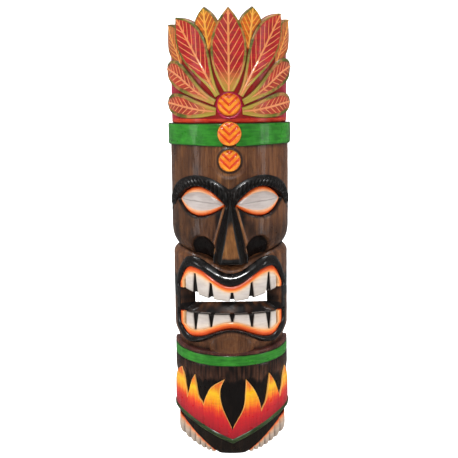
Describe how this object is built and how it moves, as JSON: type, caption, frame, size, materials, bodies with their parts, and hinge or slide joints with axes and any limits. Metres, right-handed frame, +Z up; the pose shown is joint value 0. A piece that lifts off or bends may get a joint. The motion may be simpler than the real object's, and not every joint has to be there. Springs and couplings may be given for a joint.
{
  "type": "tiki figure",
  "caption": "Carved half-log tiki wall figure with a leaf crown, headband, brows, open toothed mouth, collar and flame skirt, hollow behind, hung by a swinging ring.",
  "frame": {"origin": "the point on the wall plane, on the figure's centre line, at the height where the wall hook bears inside the top of the hanger ring", "axes": "+Z up along the log; -Y is the way the carved face looks, so the figure's flat back lies in the plane Y = 0; +X is the right-hand side as the viewer sees the face"},
  "size_m": [0.142, 0.08, 0.501],
  "materials": {
    "crown_ground_paint": "carved wood, hand-painted under a clear gloss varnish",
    "stained_wood": "carved wood, stained and scorched, under a clear gloss varnish",
    "dark_wood": "carved wood, stained and scorched, under a clear gloss varnish",
    "burnt_wood": "carved wood, scorched nearly black, under a clear gloss varnish",
    "foot_white": "carved wood, hand-painted under a clear gloss varnish",
    "leaf_red": "carved wood, hand-painted under a clear gloss varnish",
    "leaf_yellow": "carved wood, hand-painted under a clear gloss varnish",
    "leaf_orange": "carved wood, hand-painted under a clear gloss varnish",
    "leaf_rose": "carved wood, hand-painted under a clear gloss varnish",
    "moulding_red": "carved wood, hand-painted under a clear gloss varnish",
    "magenta_paint": "carved wood, hand-painted under a clear gloss varnish",
    "rosette_orange": "carved wood, hand-painted under a clear gloss varnish",
    "green_paint": "carved wood, hand-painted under a clear gloss varnish",
    "black_paint": "carved wood, hand-painted under a clear gloss varnish",
    "orange_paint": "carved wood, hand-painted under a clear gloss varnish",
    "eye_white": "carved wood, hand-painted under a clear gloss varnish",
    "light_wood": "carved wood, stained and scorched, under a clear gloss varnish",
    "tooth_white": "carved wood, hand-painted under a clear gloss varnish",
    "flame_paint": "carved wood, hand-painted under a clear gloss varnish",
    "ridge_green": "carved wood, hand-painted under a clear gloss varnish",
    "zinc_steel": "zinc plated, satin"
  },
  "bodies": {
    "carving": {"crown_block": "crown_ground_paint", "head_block": "stained_wood", "muzzle_block": "stained_wood", "skirt_block": "dark_wood", "chin_block": "burnt_wood", "foot_left": "foot_white", "foot_right": "foot_white", "leaf_center": "leaf_red", "leaf_peak_left": "leaf_yellow", "leaf_peak_right": "leaf_yellow", "leaf_tall_left": "leaf_red", "leaf_tall_right": "leaf_red", "leaf_corner_left": "leaf_orange", "leaf_corner_right": "leaf_orange", "leaf_side_left": "leaf_rose", "leaf_side_right": "leaf_rose", "leaf_low_left": "leaf_rose", "leaf_low_right": "leaf_rose", "crown_moulding": "moulding_red", "rosette_ring": "magenta_paint", "rosette_crown": "rosette_orange", "rosette_band": "rosette_orange", "rosette_brow": "rosette_orange", "headband_left": "green_paint", "headband_right": "green_paint", "brow_left": "black_paint", "brow_right": "black_paint", "eye_rim_left": "orange_paint", "eye_rim_right": "orange_paint", "eye_left": "eye_white", "eye_right": "eye_white", "nose": "light_wood", "upper_lip": "black_paint", "lower_lip": "black_paint", "upper_gum": "orange_paint", "lower_gum": "orange_paint", "chin": "light_wood", "upper_tooth_1": "tooth_white", "upper_tooth_2": "tooth_white", "upper_tooth_3": "tooth_white", "upper_tooth_4": "tooth_white", "upper_tooth_5": "tooth_white", "upper_tooth_6": "tooth_white", "lower_tooth_1": "tooth_white", "lower_tooth_2": "tooth_white", "lower_tooth_3": "tooth_white", "lower_tooth_4": "tooth_white", "lower_tooth_5": "tooth_white", "lower_tooth_6": "tooth_white", "collar_band": "green_paint", "flames_left": "flame_paint", "flames_right": "flame_paint", "chevron_ridge": "ridge_green", "hanger_strap": "zinc_steel", "hanger_screws": "zinc_steel"},
    "ring": {"hanger_ring": "zinc_steel"}
  },
  "joints": [
    {"name": "ring_swing", "type": "hinge", "parent": "carving", "child": "ring", "pos_m": [0, -0.00294, -0.007], "axis": [1, 0, 0], "range_deg": [-150, 85]}
  ]
}
